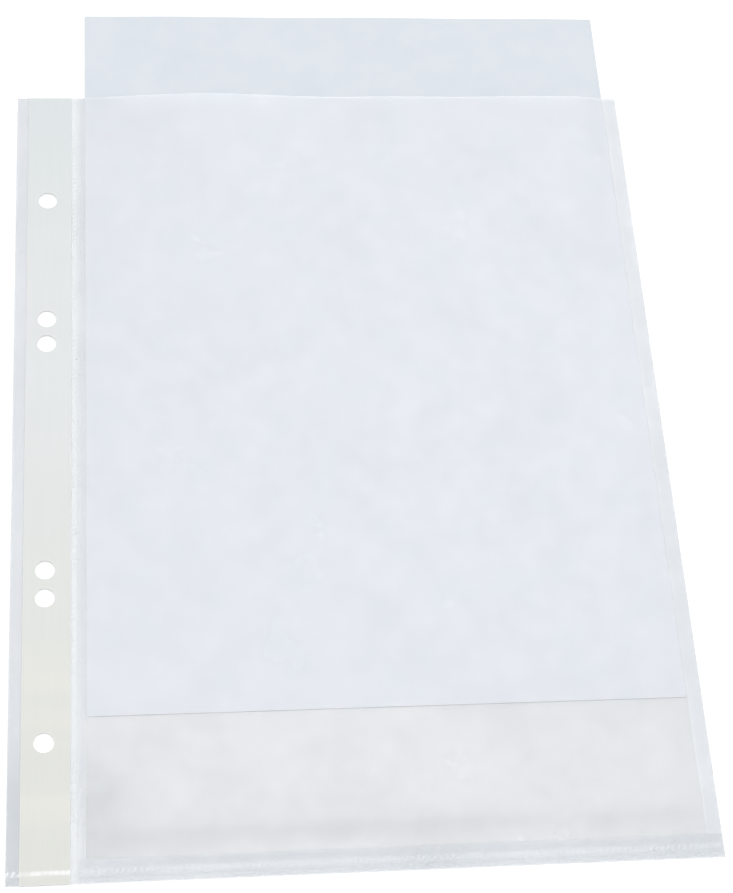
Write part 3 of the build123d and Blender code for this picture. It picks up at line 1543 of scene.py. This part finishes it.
@dataclass
class LivingHinge:
    """The bare film between the long weld and the pocket, about which the page turns."""

    film: bpy.types.Material
    columns: int = 14
    row_step: float = 3.0 * MM

    def build(self) -> bpy.types.Object:
        """Build the bridge between the two bodies, flat.

        Returns:
            The piece.
        """
        weld_low, weld_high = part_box("long_weld")
        start, end = weld_high.x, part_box("hinge_edge")[0].x
        columns = lines_between(start, end, (end - start) / self.columns)
        rows = lines_between(weld_low.y, weld_high.y, self.row_step)
        skin = add_sheet(Skin(), columns, rows, level(weld_low.z), level(weld_high.z))
        piece = skin.build("page_hinge_film", lambda x, y: False)
        dress(piece, self.film, Slot.FILM)
        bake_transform(piece)
        return piece


@dataclass
class PaperSheet:
    """The sheet of paper, flat in the pocket and faintly waved where it stands out."""

    paper: bpy.types.Material
    wave: float = 0.35 * MM
    wave_reach: float = 44.0 * MM
    wave_length: float = 13.0 * MM
    wave_slant: float = 0.9
    side_fade: float = 30.0 * MM
    step: float = 4.0 * MM
    border: float = 0.3 * MM

    def __post_init__(self) -> None:
        """Read the place of the sheet."""
        self.low, self.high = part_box("paper_sheet")

    def lift(self, x: float, y: float) -> float:
        """Find how far the sheet waves up from the plane.

        Args:
            x: Place along X.
            y: Place along Y.

        Returns:
            The height.
        """
        share = ease(1 - (self.high.y - y) / self.wave_reach)
        sides = ease((x - self.low.x) / self.side_fade) * ease((self.high.x - x) / self.side_fade)
        turn = math.sin((x + self.wave_slant * y) / self.wave_length)
        return self.wave * share * sides * (1 + turn) / 2

    def build(self) -> bpy.types.Object:
        """Build and dress the sheet.

        Returns:
            The piece.
        """
        low, high = self.low, self.high
        columns = lines_between(low.x, high.x, self.step, self.border)
        rows = lines_between(low.y, high.y, self.step, self.border)
        skin = add_sheet(Skin(), columns, rows, lambda x, y: low.z + self.lift(x, y),
                         lambda x, y: high.z + self.lift(x, y))
        piece = skin.build("paper_leaf", lambda x, y: True)
        dress(piece, self.paper, Slot.PAPER)
        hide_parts("paper_sheet")
        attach(piece, "paper")
        return piece


@dataclass
class Studio:
    """Pale floor, soft light and the camera at the photograph's viewing angle."""

    camera_place: Point = (-71.471 * MM, -324.321 * MM, 634.888 * MM)
    aim: Point = (4.66 * MM, -19.5 * MM, 0.0)
    roll: float = -11.58
    lens: float = 77.311
    shift: float = 0.011
    floor_size: float = 8.0
    floor_drop: float = 0.05 * MM
    floor_colour: Colour = (0.95, 0.95, 0.95)
    floor_pale: Colour = (0.96, 0.96, 0.96)
    floor_cloud: Cloud = Cloud(3.0)
    floor_band: Range = (0.3, 0.7)
    floor_roughness: float = 0.9
    floor_glow: float = 0.14
    light_colour: Colour = (0.985, 1.0, 1.02)
    dome: float = 0.30
    horizon: float = 0.95
    horizon_band: Range = (0.35, 0.65)
    glow: float = 1.67
    glow_from: Point = (0.12, 0.40, 0.9)
    glow_band: Range = (0.78, 0.96)
    glow_squeeze: float = 0.6
    warm: float = 0.7
    warm_from: Point = (-0.12, 0.10, 0.98)
    warm_band: Range = (0.965, 0.993)
    warm_colour: Colour = (1.0, 0.86, 0.70)
    warm_share: float = 0.3
    sheen: float = 0.8
    sheen_from: Point = (0.19, 0.475, 0.86)
    sheen_band: Range = (0.96, 1.0)
    film_layers: int = 40

    def build(self) -> None:
        """Set the whole studio up, with light paths long enough for films over each other."""
        self.floor()
        self.sky()
        self.camera()
        bpy.context.scene.view_settings.view_transform = "Standard"
        paths = getattr(bpy.context.scene, "cycles", None)
        if paths is not None:
            paths.transparent_max_bounces = self.film_layers

    def floor(self) -> None:
        """Lay the pale floor, a hair under the film so that the two faces don't meet."""
        half = self.floor_size / 2
        corners = [(-half, -half), (half, -half), (half, half), (-half, half)]
        mesh = bpy.data.meshes.new("studio_floor")
        mesh.from_pydata([(x, y, -self.floor_drop) for x, y in corners], [], [(0, 1, 2, 3)])
        floor = bpy.data.objects.new("studio_floor", mesh)
        bpy.context.scene.collection.objects.link(floor)
        material, w, shader = new_material("pale_floor")
        cloud = w.span(w.cloud(w.place(), self.floor_cloud), self.floor_band)
        w.feed(shader.inputs["Base Color"],
               w.blend(cloud, (*self.floor_colour, 1), (*self.floor_pale, 1)))
        shader.inputs["Roughness"].default_value = self.floor_roughness
        shader.inputs["Specular IOR Level"].default_value = 0.0
        shader.inputs["Emission Color"].default_value = (1.0, 1.0, 1.0, 1)
        shader.inputs["Emission Strength"].default_value = self.floor_glow
        mesh.materials.append(material)

    def sky(self) -> None:
        """Light the scene with a soft dome that glows behind and above the object."""
        world = bpy.data.worlds.new("studio_dome")
        bpy.context.scene.world = world
        world.use_nodes = True
        w = Wiring(world.node_tree)
        background = world.node_tree.nodes["Background"]
        direction = w.add("ShaderNodeTexCoord").outputs["Generated"]
        wide = w.add("ShaderNodeVectorMath", operation="NORMALIZE")
        w.feed(wide.inputs[0], w.stretched(direction, (self.glow_squeeze, 1.0, 1.0)))
        glow = w.span(self.nearness(w, wide.outputs[0], self.glow_from), self.glow_band, (0.0, self.glow))
        warmth = w.span(self.nearness(w, direction, self.warm_from), self.warm_band)
        sheen = w.span(self.nearness(w, direction, self.sheen_from), self.sheen_band, (0.0, self.sheen))
        parts = w.add("ShaderNodeSeparateXYZ")
        w.feed(parts.inputs[0], direction)
        walls = w.span(parts.outputs["Z"], self.horizon_band, (self.horizon, self.dome))
        w.feed(background.inputs["Color"], w.blend(
            w.sum("MULTIPLY", warmth, self.warm_share), (*self.light_colour, 1), (*self.warm_colour, 1)))
        spots = w.sum("ADD", w.sum("MULTIPLY", warmth, self.warm), sheen)
        w.feed(background.inputs["Strength"], w.sum("ADD", w.sum("ADD", glow, walls), spots))

    @staticmethod
    def nearness(w: Wiring, direction: bpy.types.NodeSocket, middle: Point) -> bpy.types.NodeSocket:
        """Measure the angle between a direction and the middle of a light.

        Args:
            w: The world's wiring.
            direction: The direction.
            middle: Where the light's middle stands.

        Returns:
            The cosine of the angle.
        """
        towards = w.add("ShaderNodeVectorMath", operation="DOT_PRODUCT")
        w.feed(towards.inputs[0], direction)
        towards.inputs[1].default_value = Vector(middle).normalized()
        return towards.outputs["Value"]

    def camera(self) -> None:
        """Stand the camera where the photograph was taken from."""
        data = bpy.data.cameras.new("camera")
        data.lens = self.lens
        data.shift_x = self.shift
        forward = (Vector(self.aim) - Vector(self.camera_place)).normalized()
        across = forward.cross(Vector((0, 0, 1))).normalized()
        upright = across.cross(forward)
        turn = math.radians(self.roll)
        up = upright * math.cos(turn) + across * math.sin(turn)
        right = forward.cross(up)
        matrix = Matrix((right, up, -forward)).transposed().to_4x4()
        matrix.translation = self.camera_place
        camera = bpy.data.objects.new("camera", data)
        camera.matrix_world = matrix
        bpy.context.scene.collection.objects.link(camera)
        bpy.context.scene.camera = camera


@dataclass(frozen=True)
class Finishes:
    """The materials of all pieces, from the films' common grain."""

    film: bpy.types.Material
    backing: bpy.types.Material
    margin: bpy.types.Material
    rim: bpy.types.Material
    seam: bpy.types.Material
    weld: bpy.types.Material
    tape: bpy.types.Material
    paper: bpy.types.Material

    @classmethod
    def make(cls) -> "Finishes":
        """Mix every finish.

        Returns:
            The finishes.
        """
        grain = FilmGrain().make()
        return cls(
            film=FilmFinish("clear_film_finish", grain, has_sides=True).make(),
            # The back film and the margin carry the painted shade of the far colour and haze.
            backing=FilmFinish("back_film_painted_shade_finish", grain, has_sides=True, is_far=True,
                               painted_corner_shade=0.12).make(),
            margin=FilmFinish("margin_film_finish", grain, far_shade_colour=(0.28, 0.33, 0.38),
                              has_sides=True, is_far=True, far_shade_haze=0.141, fuzz_and_glint_haze=0.25,
                              painted_corner_shade=0.10).make(),
            # The fold and the closing films beside the long weld take a denser dark haze: painted crease
            # shade.
            rim=FilmFinish("folded_film_finish", grain, haze_colour=MELT_AND_CREASE_SHADE_HAZE, haze=0.075).make(),
            seam=FilmFinish("seam_film_finish", grain, haze_colour=MELT_AND_CREASE_SHADE_HAZE, haze=0.080,
                            weld_haze=0.10, fuzz_and_glint_haze=0.35, gloss=0.02).make(),
            weld=FilmFinish("welded_film_finish", grain, haze_colour=(0.42, 0.46, 0.50),
                            pale_colour=(0.84, 0.86, 0.87), haze=0.17, weld_haze=0.05,
                            fuzz_and_glint_haze=0.15, ripple=200.0, ripple_height=0.06 * MM).make(),
            tape=StripFinish("cream_strip_finish", StripBands().make()).make(),
            paper=PaperFinish("office_paper_finish", PaperFibre().make()).make(),
        )


def main() -> None:
    """Build the studio and then the object, piece by piece."""
    logging.basicConfig(level=logging.INFO, format="%(message)s")
    Studio().build()
    finishes = Finishes.make()
    pieces = BindingEdge(finishes.margin, finishes.weld, finishes.tape).build()
    pieces.append(LivingHinge(finishes.weld).build())
    pieces += Pocket(PocketShape(), finishes.film, finishes.backing, finishes.rim, finishes.seam).build()
    pieces.append(PaperSheet(finishes.paper).build())
    for piece in pieces:
        log.info("%s: %d faces", piece.name, len(piece.data.polygons))


if __name__ == "__main__":
    main()
